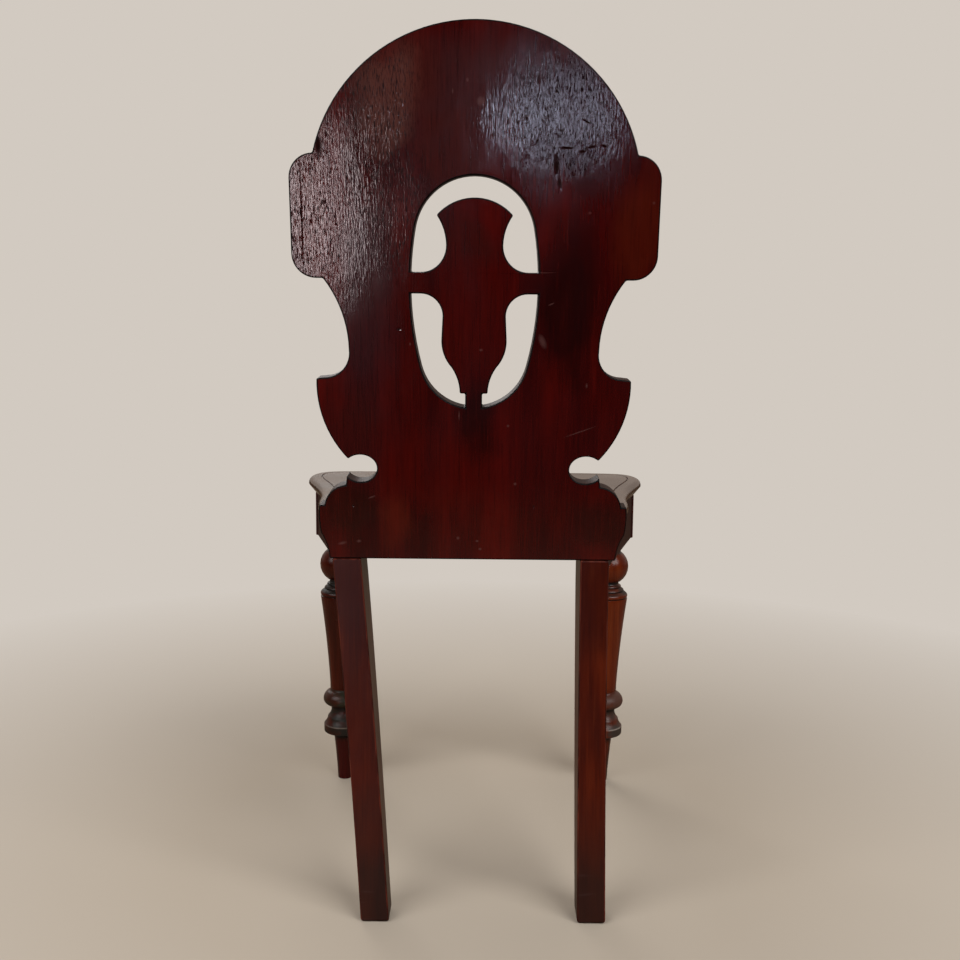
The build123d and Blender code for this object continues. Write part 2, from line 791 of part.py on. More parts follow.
with BuildPart() as back_rail:
    with BuildSketch(Plane.XY.offset(back_rail_foot)):
        with Locations((0, back_rail_inner_y)):
            Rectangle(2 * rear_leg_x, 2 * rail_thickness, align=(Align.CENTER, Align.MIN))
    extrude(amount=back_rail_height)
    split(bisect_by=back_front_plane, keep=Keep.BOTTOM)
    add(rear_leg_blanks, mode=Mode.SUBTRACT)
    for bore in frame_bores(back_dowel_planes[1] + back_dowel_planes[-1], small=True):
        add(bore, mode=Mode.SUBTRACT)
    for plane in back_screw_planes:
        add(screw_solid(plane, back_screw_length, screw_clearance), mode=Mode.SUBTRACT)
    for name in ("corner_block_rear_left", "corner_block_rear_right"):
        cross_rail = corner_screws[name][0]
        hole = screw_solid(cross_rail, corner_screw_length, screw_clearance)
        add(hole, mode=Mode.SUBTRACT)
back_rail.part.label = "back_rail"

# Dowels and screws, each kind in one group

corner_screw_planes = []
for pair in corner_screws.values():
    corner_screw_planes.extend(pair)

fasteners = {
    "front_rail_dowels": [
        dowel_solid(plane, dowel_radius, dowel_reach)
        for plane in front_dowel_planes[1] + front_dowel_planes[-1]
    ],
    "side_rail_dowels": [
        dowel_solid(plane, dowel_radius, dowel_reach)
        for plane in side_dowel_planes[1] + side_dowel_planes[-1]
    ],
    "back_rail_dowels": [
        dowel_solid(plane, small_dowel_radius, small_dowel_reach)
        for plane in back_dowel_planes[1] + back_dowel_planes[-1]
    ],
    "back_panel_screws": [screw_solid(plane, back_screw_length) for plane in back_screw_planes],
    "corner_block_screws": [
        screw_solid(plane, corner_screw_length) for plane in corner_screw_planes
    ],
    "seat_screws": [screw_solid(plane, seat_screw_length) for plane in seat_screw_planes],
    "pocket_screws": [
        screw_solid(plane, pocket_screw_length) for plane in pocket_planes.values()
    ],
}
groups = []
for name, solids in fasteners.items():
    with BuildPart() as group:
        add(solids)
    group.part.label = name
    groups.append(group.part)

# Write every piece under its own name

os.makedirs("parts", exist_ok=True)
pieces = [back_panel.part, seat_board.part, front_rail.part, back_rail.part]
pieces += rear_legs + front_legs + side_rails + list(corner_blocks.values()) + glue_blocks + groups
for piece in pieces:
    export_step(piece, f"parts/{piece.label}.step")
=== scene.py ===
import math

import bpy
from mathutils import Matrix, Vector


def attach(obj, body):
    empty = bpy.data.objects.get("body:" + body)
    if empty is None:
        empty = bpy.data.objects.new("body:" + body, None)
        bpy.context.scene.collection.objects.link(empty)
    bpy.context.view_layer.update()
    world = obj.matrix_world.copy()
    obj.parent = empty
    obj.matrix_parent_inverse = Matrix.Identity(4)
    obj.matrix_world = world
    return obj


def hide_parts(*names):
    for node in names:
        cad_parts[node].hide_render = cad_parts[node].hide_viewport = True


# A mahogany hall chair seen from behind: plank back pierced by an oval with a shield in it,
# moulded board seat, turned front legs, rear legs swept back. Sizes are in millimetres, and mm
# turns them to metres.

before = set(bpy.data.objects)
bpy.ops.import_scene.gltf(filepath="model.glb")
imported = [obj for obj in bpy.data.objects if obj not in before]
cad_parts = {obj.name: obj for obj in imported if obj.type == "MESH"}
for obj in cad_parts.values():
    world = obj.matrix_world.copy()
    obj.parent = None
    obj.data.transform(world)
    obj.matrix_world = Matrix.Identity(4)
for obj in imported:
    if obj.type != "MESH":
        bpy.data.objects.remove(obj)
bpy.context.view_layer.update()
bpy.ops.object.select_all(action="DESELECT")
mm = 0.001

# Places and sizes from the chair's drawing: the plank's rear face at its foot, the middle of
# the front legs' squares, how far the turnings lean in at the floor, and the squares' own size
back_y = 161.3
leg_x = 190.7
leg_y = -176.2
foot_inset = 5.5
block_foot = 360.3
block_width = 58
block_height = 60.3

# The reach of a patch or mark that goes right through a piece
far = 900


# Nodes


def linear(hex_colour):
    """An sRGB hex value as a linear colour with full alpha."""
    channels = [int(hex_colour[place : place + 2], 16) / 255 for place in (1, 3, 5)]
    lit = [c / 12.92 if c <= 0.04045 else ((c + 0.055) / 1.055) ** 2.4 for c in channels]
    return (*lit, 1)


def add_node(tree, kind, inputs=None, stops=None, **settings):
    """Add a shader node, set it, give a ramp its stops, and set or link its inputs. An input
    goes by its name, or by its number where several share one. A node given as an input is
    linked from its first output that is in use."""
    node = tree.nodes.new("ShaderNode" + kind)
    for setting, value in settings.items():
        setattr(node, setting, value)
    if stops:
        ramp = node.color_ramp
        while len(ramp.elements) < len(stops):
            ramp.elements.new(0.5)
        for element, (place, colour) in zip(ramp.elements, stops):
            element.position = place
            element.color = linear(colour)
    live = [socket for socket in node.inputs if socket.enabled]
    for key, value in (inputs or {}).items():
        socket = live[key] if isinstance(key, int) else next(s for s in live if s.name == key)
        if isinstance(value, bpy.types.Node):
            value = next(output for output in value.outputs if output.enabled)
        if isinstance(value, bpy.types.NodeSocket):
            tree.links.new(value, socket)
        else:
            socket.default_value = value
    return node


def new_material(name):
    """An empty material, its node tree, and the place on the piece in metres."""
    material = bpy.data.materials.new(name)
    material.use_nodes = True
    tree = material.node_tree
    tree.nodes.clear()
    return material, tree, add_node(tree, "TexCoord").outputs["Object"]


# Patterns


def clouds(tree, place, sizes, detail=3, roughness=0.5, wander=0):
    """Cloudy values from 0 to 1, the clouds about as large as sizes along X, Y and Z."""
    scaled = add_node(tree, "Mapping", {"Vector": place, "Scale": [1 / (s * mm) for s in sizes]})
    return add_node(
        tree,
        "TexNoise",
        {
            "Vector": scaled,
            "Scale": 1,
            "Detail": detail,
            "Roughness": roughness,
            "Distortion": wander,
        },
    )


def patch(tree, place, centre, reach, turn=0):
    """1 in the middle of a patch, falling to 0 at its reach; turn is in degrees about Y."""
    local = add_node(
        tree,
        "Mapping",
        {
            "Vector": place,
            "Location": [c * mm for c in centre],
            "Rotation": (0, math.radians(turn), 0),
            "Scale": [r * mm for r in reach],
        },
        vector_type="TEXTURE",
    )
    ball = add_node(tree, "TexGradient", {"Vector": local}, gradient_type="SPHERICAL")
    return ball.outputs["Fac"]


def faces_back(tree):
    """1 on the faces that look to the chair's back, 0 on the others."""
    normal = add_node(tree, "TexCoord").outputs["Normal"]
    backward = add_node(tree, "SeparateXYZ", {"Vector": normal}).outputs["Y"]
    return add_node(tree, "Math", {0: backward, 1: 0.2}, operation="GREATER_THAN")


def marks(tree, place, spots):
    """1 inside any of several small marks on the back, each a centre, a reach and a turn."""
    found = 0
    for centre, reach, turn in spots:
        spot = patch(tree, place, centre, reach, turn)
        found = add_node(tree, "Math", {0: found, 1: spot}, operation="MAXIMUM")
    inside = add_node(tree, "MapRange", {"Value": found, "From Min": 0.02, "From Max": 0.7})
    return add_node(tree, "Math", {0: inside, 1: faces_back(tree)}, operation="MULTIPLY")


def by_grain(grain, across, through, along):
    """Sizes along X, Y and Z for wood whose grain lies along X or Z."""
    return {"X": (along, through, across), "Z": (across, through, along)}[grain]


# Layers of polished mahogany


def drift(tree, place):
    """The place on the piece, led astray by some 10 mm across and 25 mm up and down in clouds
    of 70 mm, so that the patches laid by it get wandering edges."""
    stray = add_node(tree, "TexNoise", {"Vector": place, "Scale": 1 / (70 * mm), "Detail": 3})
    centred = add_node(
        tree, "VectorMath", {0: stray.outputs["Color"], 1: (0.5, 0.5, 0.5)}, operation="SUBTRACT"
    )
    return add_node(
        tree,
        "VectorMath",
        {0: centred, 1: (45 * mm, 45 * mm, 100 * mm), 2: place},
        operation="MULTIPLY_ADD",
    )


def figured_wood(tree, place, grain, tones):
    """The figure: bands of the first three tones, about 40 mm wide and half a metre long."""
    figure = clouds(tree, place, by_grain(grain, 40, 80, 480), wander=0.5)
    return add_node(tree, "ValToRGB", {"Fac": figure}, tuple(zip((0.34, 0.5, 0.68), tones)))


def lay_tints(tree, colour, drifted, tints_and_painted_light):
    """Lay on large soft patches of colour: tones where polish and light have aged the wood
    differently, and among them painted reflection and painted shade.
    """
    for centre, reach, tint, share in tints_and_painted_light:
        spot = patch(tree, drifted, centre, reach)
        soft = add_node(tree, "MapRange", {"Value": spot, "From Max": 0.55, "To Max": share})
        colour = add_node(
            tree, "Mix", {"Factor": soft, "A": colour, "B": linear(tint)}, data_type="RGBA"
        )
    return colour


def lay_streaks(tree, colour, place, grain, light):
    """Lay on dark and light streaks about 2 mm wide, broken every 50 mm."""
    streaks = clouds(tree, place, by_grain(grain, 2.2, 20, 50), detail=4, roughness=0.65)
    dark = add_node(tree, "ValToRGB", {"Fac": streaks}, ((0.3, "#d4cccc"), (0.5, "#ffffff")))
    colour = add_node(
        tree,
        "Mix",
        {"Factor": 1, "A": colour, "B": dark},
        data_type="RGBA",
        blend_type="MULTIPLY",
    )
    share = add_node(
        tree, "MapRange", {"Value": streaks, "From Min": 0.55, "From Max": 0.78, "To Max": 0.22}
    )
    return add_node(
        tree, "Mix", {"Factor": share, "A": colour, "B": linear(light)}, data_type="RGBA"
    )


def open_grain_shares(tree, drifted, patches):
    """How far the pores stand open and how far the ribs stand up: a little everywhere, and
    most in patches on the back, where the polish has sunk."""
    opened = 0.04
    raised = 0.1
    for centre, reach, ribbed in patches:
        spot = patch(tree, drifted, centre, reach)
        soft = add_node(tree, "Math", {0: spot, 1: faces_back(tree)}, operation="MULTIPLY")
        pores_here = add_node(tree, "MapRange", {"Value": soft, "From Max": 0.5})
        ribs_here = add_node(tree, "MapRange", {"Value": soft, "From Max": 0.5, "To Max": ribbed})
        opened = add_node(tree, "Math", {0: opened, 1: pores_here, 2: 0.3}, operation="SMOOTH_MAX")
        raised = add_node(tree, "Math", {0: raised, 1: ribs_here, 2: 0.2}, operation="SMOOTH_MAX")
    return opened, raised


def open_pores(tree, place, grain, opened):
    """How dark each pore is. Real pores are 0.2 mm wide, and these are drawn 0.9 mm wide and
    6 mm long so that they show."""
    pores = clouds(tree, place, by_grain(grain, 0.9, 5, 6), detail=2)
    deep = add_node(
        tree, "MapRange", {"Value": pores, "From Min": 0.48, "From Max": 0.36, "To Max": 0.9}
    )
    return add_node(tree, "Math", {0: deep, 1: opened}, operation="MULTIPLY")


def small_pits(tree, place, dark_marks):
    """1 in the pits, which one cell in ten has, 1 to 3 mm across, and in the dark marks."""
    cells = add_node(tree, "TexVoronoi", {"Vector": place, "Scale": 1 / (21 * mm)})
    chance = add_node(tree, "SeparateColor", {"Color": cells.outputs["Color"]}).outputs["Red"]
    rare = add_node(tree, "Math", {0: chance, 1: 0.9}, operation="GREATER_THAN")
    near = add_node(
        tree,
        "MapRange",
        {"Value": cells.outputs["Distance"], "From Min": 0.07, "From Max": 0.03},
    )
    pits = add_node(tree, "Math", {0: near, 1: rare}, operation="MULTIPLY")
    if dark_marks:
        spots = marks(tree, place, dark_marks)
        pits = add_node(tree, "Math", {0: pits, 1: spots}, operation="MAXIMUM")
    return pits


def darken_towards_floor(tree, colour, drifted, reach):
    """Darken the colour towards the floor, from the floor up to a reach in millimetres."""
    height = add_node(tree, "SeparateXYZ", {"Vector": drifted}).outputs["Z"]
    low = add_node(
        tree,
        "MapRange",
        {"Value": height, "From Min": reach * mm, "From Max": 0.3 * reach * mm, "To Max": 0.75},
    )
    return add_node(
        tree, "Mix", {"Factor": low, "A": colour, "B": linear("#1f1512")}, data_type="RGBA"
    )


def lay_hollow_dirt_and_painted_light(tree, colour, shine, gloss, place, hollows):
    """Lay on bands round a turning, each a lower and an upper edge in millimetres and a colour:
    dirt where the turning is hollow, and a pale band that is a painted highlight. Then lay painted
    shade, nearly black, in the creases where rings meet. The bands are duller than polish."""
    height = add_node(tree, "SeparateXYZ", {"Vector": place}).outputs["Z"]
    patchy = add_node(
        tree,
        "MapRange",
        {
            "Value": clouds(tree, place, (24, 24, 16), detail=4),
            "From Min": 0.4,
            "From Max": 0.55,
            "To Min": 0.3,
            "To Max": 0.95,
        },
    )
    blur = 0.8
    for low_edge, high_edge, dirt in hollows:
        above = add_node(
            tree,
            "MapRange",
            {
                "Value": height,
                "From Min": (low_edge - blur) * mm,
                "From Max": (low_edge + blur) * mm,
            },
        )
        under = add_node(
            tree,
            "MapRange",
            {
                "Value": height,
                "From Min": (high_edge + blur) * mm,
                "From Max": (high_edge - blur) * mm,
            },
        )
        banded = add_node(tree, "Math", {0: above, 1: under}, operation="MULTIPLY")
        banded = add_node(tree, "Math", {0: banded, 1: patchy}, operation="MULTIPLY")
        colour = add_node(
            tree, "Mix", {"Factor": banded, "A": colour, "B": linear(dirt)}, data_type="RGBA"
        )
        dull = add_node(tree, "MapRange", {"Value": banded, "To Min": gloss, "To Max": 0.5})
        shine = add_node(tree, "Math", {0: shine, 1: dull}, operation="MAXIMUM")
    # Painted shade: the creases where rings meet, found by how the mesh bends, darkened nearly to
    # black
    bend = add_node(tree, "NewGeometry").outputs["Pointiness"]
    creases = add_node(
        tree, "MapRange", {"Value": bend, "From Min": 0.497, "From Max": 0.47, "To Max": 0.9}
    )
    colour = add_node(
        tree, "Mix", {"Factor": creases, "A": colour, "B": linear("#0e0b08")}, data_type="RGBA"
    )
    return colour, shine


def wood_relief(tree, place, grain, wave_height, raised, pits):
    """Slow waves left by the tool, short ribs of the open grain, and pits."""
    waves = clouds(tree, place, by_grain(grain, 32, 60, 55), detail=2)
    relief = add_node(tree, "Bump", {"Height": waves, "Strength": 1, "Distance": wave_height * mm})
    ribs = clouds(tree, place, by_grain(grain, 1.5, 8, 10), detail=2, roughness=0.55)
    relief = add_node(
        tree,
        "Bump",
        {"Height": ribs, "Strength": raised, "Distance": 0.3 * mm, "Normal": relief},
    )
    return add_node(
        tree,
        "Bump",
        {"Height": pits, "Strength": 0.5, "Distance": 0.4 * mm, "Normal": relief},
        invert=True,
    )


# Finishes


def finish_wood(tree, colour, gloss, relief, polish=0.5, skin=None):
    """Join colour, gloss and relief in one shader. Polish is how much the skin of the wood
    reflects, and skin, where given, is the same where it varies."""
    surface = add_node(
        tree,
        "BsdfPrincipled",
        {
            "Base Color": colour,
            "Roughness": gloss,
            "IOR": 1.5,
            "Specular IOR Level": polish,
            "Normal": relief,
        },
    )
    if skin is not None:
        tree.links.new(skin.outputs[0], surface.inputs["Specular IOR Level"])
    add_node(tree, "OutputMaterial", {"Surface": surface})


def polished_mahogany(
    name,
    grain,
    tones,
    tints_and_painted_light=(),
    open_grain=(),
    bloom=("#241318", 0.2),
    dark_marks=(),
    pale_marks=(),
    floor_darkening_reach=0,
    hollows=(),
    gloss=0.105,
    polish=0.5,
):
    """French polished mahogany after a hundred years of handling. It shows a figure of darker
    and redder bands, soft patches of tone with painted reflection and painted shade among them,
    thin broken streaks, short dark pores that ripple the shine, cloudy bloom where the polish is
    dull, small pits, dirt where a turning is hollow and hands don't reach, a painted highlight
    band and painted shade in the creases of turnings, and colour darker towards the floor."""
    material, tree, place = new_material(name)
    drifted = drift(tree, place)
    colour = figured_wood(tree, place, grain, tones)
    colour = lay_tints(tree, colour, drifted, tints_and_painted_light)
    colour = lay_streaks(tree, colour, place, grain, tones[3])
    opened, raised = open_grain_shares(tree, drifted, open_grain)
    pores = open_pores(tree, place, grain, opened)
    colour = add_node(
        tree, "Mix", {"Factor": pores, "A": colour, "B": linear("#0f0404")}, data_type="RGBA"
    )

    # Bloom: clouds 60 to 150 mm across where the polish has gone dull
    dull = clouds(tree, place, (110, 110, 190), detail=4, wander=0.4)
    bloom_colour, bloom_share = bloom
    misty = add_node(
        tree,
        "MapRange",
        {"Value": dull, "From Min": 0.45, "From Max": 0.68, "To Max": bloom_share},
    )
    colour = add_node(
        tree, "Mix", {"Factor": misty, "A": colour, "B": linear(bloom_colour)}, data_type="RGBA"
    )
    shine = add_node(
        tree,
        "MapRange",
        {
            "Value": dull,
            "From Min": 0.35,
            "From Max": 0.7,
            "To Min": gloss,
            "To Max": gloss + 0.06,
        },
    )

    # Pits and pores: nearly black, without a skin of polish, so that they stay dark in a glare
    pits = small_pits(tree, place, dark_marks)
    pit_dark = add_node(tree, "Math", {0: pits, 1: 0.85}, operation="MULTIPLY")
    colour = add_node(
        tree, "Mix", {"Factor": pit_dark, "A": colour, "B": linear("#0b0303")}, data_type="RGBA"
    )
    pierced = add_node(tree, "Math", {0: pores, 1: pits}, operation="MAXIMUM")
    skin = add_node(tree, "MapRange", {"Value": pierced, "To Min": polish, "To Max": 0.04})
    rough = add_node(tree, "MapRange", {"Value": pierced, "From Min": 0.4, "To Max": 0.7})
    shine = add_node(tree, "Math", {0: shine, 1: rough}, operation="MAXIMUM")

    if pale_marks:
        spots = marks(tree, place, pale_marks)
        scuffed = add_node(tree, "Math", {0: spots, 1: 0.35}, operation="MULTIPLY")
        colour = add_node(
            tree, "Mix", {"Factor": scuffed, "A": colour, "B": linear("#6e4c48")}, data_type="RGBA"
        )
    if floor_darkening_reach:
        colour = darken_towards_floor(tree, colour, drifted, floor_darkening_reach)
    if hollows:
        colour, shine = lay_hollow_dirt_and_painted_light(tree, colour, shine, gloss, place, hollows)

    # A plane leaves deeper waves than a lathe
    wave_height = 0.12 if hollows else 0.4
    relief = wood_relief(tree, place, grain, wave_height, raised, pits)
    finish_wood(tree, colour, shine, relief, polish, skin)
    return material


def rubbed_arris(name, grain, dark, worn, worn_share, polish=0.2):
    """An arris where the polish is dark and rubbed away to paler wood in places. The dark is dirt,
    and on the plank's back it is also a painted dark reflection, standing in for the dark room
    seen in the rounding.
    """
    material, tree, place = new_material(name)
    rubs = clouds(tree, place, by_grain(grain, 7, 7, 60), detail=4, roughness=0.6)
    edge = 0.72 - 0.3 * worn_share
    colour = add_node(tree, "ValToRGB", {"Fac": rubs}, ((edge - 0.12, dark), (edge + 0.06, worn)))
    gloss = add_node(
        tree,
        "MapRange",
        {"Value": rubs, "From Min": 0.4, "From Max": 0.7, "To Min": 0.4, "To Max": 0.6},
    )
    relief = add_node(tree, "Bump", {"Height": rubs, "Strength": 0.3, "Distance": 0.3 * mm})
    finish_wood(tree, colour, gloss, relief, polish)
    return material


def stained_mahogany(name, dark, light):
    """Mahogany stained dark under little polish, as on a sawn and filed edge: fine lines left by
    the saw, and dull beside the polished face. On the squares of the front legs, which are
    polished like the turnings, the dark is painted shade under the seat."""
    material, tree, place = new_material(name)
    saw_lines = clouds(tree, place, (12, 1.5, 12), detail=4, roughness=0.6)
    colour = add_node(tree, "ValToRGB", {"Fac": saw_lines}, ((0.35, dark), (0.65, light)))
    gloss = add_node(
        tree,
        "MapRange",
        {"Value": saw_lines, "From Min": 0.3, "From Max": 0.7, "To Min": 0.45, "To Max": 0.6},
    )
    relief = add_node(tree, "Bump", {"Height": saw_lines, "Strength": 0.4, "Distance": 0.3 * mm})
    finish_wood(tree, colour, gloss, relief, polish=0.15)
    return material


def bare_wood(name, grain, dark, light):
    """Sawn wood without polish: streaks and a rough, dry face."""
    material, tree, place = new_material(name)
    streaks = clouds(tree, place, by_grain(grain, 2.5, 6, 70), detail=5, wander=0.3)
    colour = add_node(tree, "ValToRGB", {"Fac": streaks}, ((0.3, dark), (0.7, light)))
    gloss = add_node(
        tree,
        "MapRange",
        {"Value": streaks, "From Min": 0.3, "From Max": 0.7, "To Min": 0.7, "To Max": 0.85},
    )
    relief = add_node(tree, "Bump", {"Height": streaks, "Strength": 0.4, "Distance": 0.5 * mm})
    finish_wood(tree, colour, gloss, relief)
    return material


def browned_steel(name):
    """Steel screws gone brown in the wood: grey metal under duller brown spots of 3 mm."""
    material, tree, place = new_material(name)
    spots = clouds(tree, place, (3, 3, 3), detail=4)
    colour = add_node(tree, "ValToRGB", {"Fac": spots}, ((0.4, "#5b5854"), (0.65, "#4a3325")))
    gloss = add_node(
        tree,
        "MapRange",
        {"Value": spots, "From Min": 0.4, "From Max": 0.65, "To Min": 0.38, "To Max": 0.75},
    )
    surface = add_node(
        tree, "BsdfPrincipled", {"Base Color": colour, "Roughness": gloss, "Metallic": 1}
    )
    add_node(tree, "OutputMaterial", {"Surface": surface})
    return material


# Each tint has its centre and its reach, in millimetres, its colour and its share. Each patch
# of open grain has its centre, its reach and how far its ribs stand up. Each mark has its
# centre, its reach and its turn in degrees.

back_finish = polished_mahogany(
    "french_polished_mahogany_plank",
    "Z",
    ("#300202", "#3f0402", "#520703", "#6c170e"),
    tints_and_painted_light=(
        # Painted reflection: grey-purple across the top middle, where the windows' sheen falls
        ((0, 150, 850), (120, far, 85), "#3a1a1a", 0.85),
        ((62, 150, 862), (40, far, 55), "#44150f", 0.6),
        ((22, 150, 800), (50, far, 40), "#3c0f0a", 0.7),
        # Painted reflection: purple on the upper part towards the sitter's left
        ((75, 150, 790), (34, far, 60), "#2d0d10", 0.7),
        # Painted reflection: purple down the sitter's left side, where a weaker glare falls
        ((108, 150, 650), (42, far, 130), "#331417", 0.85),
        ((155, 150, 735), (40, far, 90), "#561c17", 0.7),
        # Painted reflection: pale grey-brown at the top towards the sitter's left
        ((88, 150, 850), (45, far, 55), "#573129", 0.75),
        ((-85, 150, 820), (80, far, 80), "#24080a", 0.8),
        ((-95, 150, 650), (42, far, 95), "#1e0202", 0.9),
        ((-163, 150, 725), (36, far, 80), "#4a1206", 0.8),
        ((5, 150, 650), (45, far, 90), "#440401", 0.7),
        ((0, 150, 712), (42, far, 34), "#2f0e0b", 0.5),
        ((-7, 150, 535), (24, far, 45), "#1b0101", 0.75),
        ((45, 150, 490), (80, far, 60), "#480602", 0.6),
        ((-75, 150, 470), (60, far, 60), "#3c0301", 0.6),
        ((130, 150, 440), (40, far, 45), "#2a0804", 0.8),
        ((-135, 150, 425), (40, far, 45), "#2a0604", 0.8),
        ((84, 150, 425), (24, far, 45), "#561608", 0.5),
        ((128, 150, 520), (45, far, 65), "#320f0e", 0.6),
    ),
    open_grain=(
        ((-78, 150, 825), (90, far, 90), 0.55),
        ((155, 150, 745), (65, far, 130), 0.9),
        ((90, 150, 760), (60, far, 110), 0.3),
        ((105, 150, 850), (70, far, 70), 0.5),
    ),
    bloom=("#231014", 0.25),
    dark_marks=(
        ((151.5, 150, 803), (5, far, 15), 0),
        ((160.4, 150, 732.5), (2, far, 2), 0),
        ((136, 150, 729.9), (1.6, far, 1.4), 0),
        ((169.5, 150, 735), (0.9, far, 60), 0),
        ((-77, 150, 852.7), (1.8, far, 1.8), 0),
        ((-49.1, 150, 828.5), (1.6, far, 3), 0),
        ((-88, 150, 802), (9, far, 1.4), -3),
        ((-103, 150, 799), (4, far, 1.6), 10),
        ((-112, 150, 803), (7, far, 1.2), 6),
        ((-124, 150, 804), (4, far, 1.6), -12),
        ((-106, 150, 826), (6, far, 1.2), -25),
        ((-78.6, 150, 785), (3.4, far, 13), 4),
        ((-82, 150, 770), (2.2, far, 8), 14),
        ((76, 150, 629), (3, far, 2), 0),
        ((103, 150, 828), (1.4, far, 2.4), 10),
    ),
    pale_marks=(
        ((147, 150, 816), (4, far, 9), -15),
        ((-5, 150, 843.3), (5, far, 5), 0),
        ((-174.3, 150, 752.2), (1.8, far, 1.8), 0),
        ((-112.4, 150, 742.3), (1.8, far, 1.4), 0),
        ((64.5, 150, 614.5), (1.3, far, 1.8), 0),
        ((-7.1, 150, 609.2), (2.4, far, 1.6), 0),
        ((-35.6, 150, 532.1), (1.8, far, 1.8), 0),
        ((14.8, 150, 542.5), (0.9, far, 6), 0),
        ((-109.5, 150, 526.5), (20, far, 0.8), 20),
        ((-61, 150, 685.2), (24, far, 0.6), 1),
        ((-69, 150, 618), (4, far, 9), 24),
        ((-115, 150, 574), (1.4, far, 3), 0),
        ((-77, 150, 655), (4, far, 1), 24),
        ((15.5, 150, 412.1), (2.2, far, 2.2), 0),
        ((-4.7, 150, 409), (2.2, far, 1.6), 0),
        ((-8, 150, 400.2), (2.2, far, 1.8), 0),
        ((138, 150, 405.5), (6, far, 2), 14),
        ((120.4, 150, 407.8), (3, far, 2), 0),
        ((-43.9, 150, 471.2), (2, far, 2), 0),
        ((105.8, 150, 455.8), (5, far, 1.2), 20),
        ((8, 150, 862), (1.6, far, 2.4), 0),
        ((22, 150, 852), (1, far, 3), 0),
    ),
)
seat_finish = polished_mahogany(
    "french_polished_mahogany_seat",
    "X",
    ("#331709", "#46240f", "#583218", "#6b4228"),
    bloom=("#3a2118", 0.4),
    gloss=0.17,
)
turned_finish_left = polished_mahogany(
    "turned_mahogany_dark_with_dirt",
    "Z",
    ("#2b0702", "#471103", "#5b1a05", "#6b2b12"),
    tints_and_painted_light=(((190, -176, 20), (60, 60, 70), "#3c0708", 0.9),),
    bloom=("#2e0d05", 0.3),
    hollows=(
        (344, 352, "#12100c"),
        (276, 294, "#15130e"),
        (104, 134, "#2a2b1f"),
        (68, 104, "#1c1a13"),
        # Painted highlight: a pale line on the upper edge of the band near the foot, not dirt
        (81.6, 82.4, "#85766a"),
    ),
    gloss=0.22,
    polish=0.28,
)
turned_finish_right = polished_mahogany(
    "turned_mahogany_worn_to_orange",
    "Z",
    ("#3f0e03", "#631d05", "#7e300b", "#97582e"),
    tints_and_painted_light=(((-187, -176, 20), (60, 60, 50), "#30100a", 0.8),),
    bloom=("#3a1408", 0.3),
    hollows=(
        (340, 352, "#3a322a"),
        (276, 294, "#2b1a12"),
        (104, 134, "#54352b"),
        (68, 104, "#38302a"),
        # Painted highlight: a pale line on the upper edge of the band near the foot, not dirt
        (81.6, 82.4, "#b0a296"),
    ),
    gloss=0.22,
    polish=0.35,
)
# Painted shade: the squares of the front legs, polished like the turnings, made dark for the shade
# under the seat's overhang
square_finish = stained_mahogany("mahogany_squares_old_polish_painted_shade_under_the_seat", "#1f0705", "#37120a")
leg_finish = polished_mahogany(
    "polished_mahogany_legs",
    "Z",
    ("#380a02", "#4a1203", "#5f1f07", "#733618"),
    tints_and_painted_light=(
        # Painted shade: darker tops of the rear legs, where the plank's foot and the seat shade
        # them
        ((140, 150, 360), (70, far, 100), "#340501", 0.9),
        ((-140, 150, 350), (60, far, 75), "#350801", 0.75),
    ),
    bloom=("#2c0e0a", 0.3),
    floor_darkening_reach=150,
    pale_marks=(
        ((110, 170, 32), (11, far, 1.6), -2),
        ((118, 170, 21), (9, far, 1.4), -2),
        ((127, 170, 34), (1.8, far, 12), -4),
        ((128, 170, 20), (1.8, far, 9), -4),
        ((114, 170, 3), (16, far, 1.6), 0),
        ((136, 170, 175), (1.4, far, 30), -4),
        ((-113, 170, 51), (22, far, 1.8), -1),
        ((-124, 170, 31), (14, far, 1.6), 6),
        ((-119, 170, 2.5), (18, far, 1.8), 0),
    ),
    gloss=0.28,
    polish=0.25,
)
frame_tones = ("#260805", "#330e07", "#42160b", "#522818")
cross_rail_finish = polished_mahogany("polished_mahogany_cross_rails", "X", frame_tones, gloss=0.4)
side_rail_finish = stained_mahogany(
    "stained_mahogany_side_rails_dull_under_the_seat", "#210805", "#3a140b"
)
back_edge = stained_mahogany("sawn_edge_of_the_plank_stained", "#1d0805", "#32130d")
# Painted dark reflection: the plank's arris nearly black, with some dirt, standing in for the dark
# room seen in the rounding
back_arris = rubbed_arris("back_arris_dirt_and_painted_dark_reflection", "Z", "#060202", "#1c0b08", 0.3, 0.12)
leg_arris = rubbed_arris("leg_arris_rubbed_red", "Z", "#300b05", "#5e2416", 0.6)
seat_arris = rubbed_arris("seat_arris_rubbed", "X", "#2e170f", "#6e5040", 0.5)
pine = bare_wood("sawn_pine_aged_brown", "X", "#6d4a2c", "#9a7048")
beech = bare_wood("bare_beech_dowel", "X", "#8b6642", "#b08a60")
steel = browned_steel("steel_screws_browned")


# Shaping


def pick(piece):
    """Make one piece the only one selected, and the active one."""
    bpy.ops.object.select_all(action="DESELECT")
    piece.select_set(True)
    bpy.context.view_layer.objects.active = piece


def set_at_origin(piece):
    """Put the object's place, turn and scale into its mesh."""
    pick(piece)
    bpy.ops.object.transform_apply(location=True, rotation=True, scale=True)


def apply_modifier(piece, kind, **settings):
    """Add a modifier, set it and apply it."""
    pick(piece)
    bpy.ops.object.modifier_add(type=kind)
    modifier = piece.modifiers[-1]
    for setting, value in settings.items():
        setattr(modifier, setting, value)
    bpy.ops.object.modifier_apply(modifier=modifier.name)


